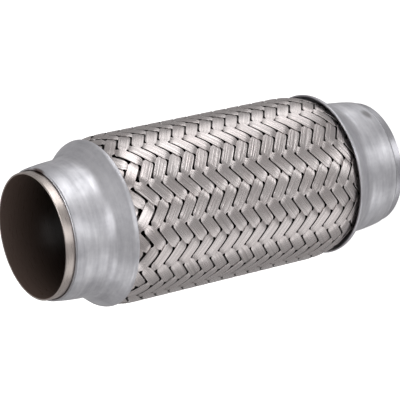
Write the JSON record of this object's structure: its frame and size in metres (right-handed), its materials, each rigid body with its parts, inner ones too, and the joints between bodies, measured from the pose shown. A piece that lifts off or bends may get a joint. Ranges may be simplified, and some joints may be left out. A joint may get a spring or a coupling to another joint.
{
  "type": "exhaust flex pipe",
  "caption": "Flexible exhaust connector: a corrugated bellows with a strip-wound liner inside a woven wire braid, clamped at both ends between a flared sheet cap and an inner sleeve.",
  "frame": {"origin": "centre of the rear mouth, on the ground the pipe stands on", "axes": "+Z along the pipe from the rear mouth to the front mouth"},
  "size_m": [0.083, 0.083, 0.2],
  "materials": {
    "cap_steel": "pressed stainless sheet, satin",
    "sleeve_steel": "rolled stainless sheet, brushed",
    "bellows_steel": "thin stainless sheet, dull",
    "liner_steel": "folded stainless strip, dull",
    "braid_wire": "drawn stainless wire, bright"
  },
  "bodies": {
    "root": {"front_end_cap": "cap_steel", "rear_end_cap": "cap_steel", "front_inner_sleeve": "sleeve_steel", "rear_inner_sleeve": "sleeve_steel", "bellows": "bellows_steel", "inner_liner": "liner_steel", "outer_braid": "braid_wire"}
  },
  "joints": []
}
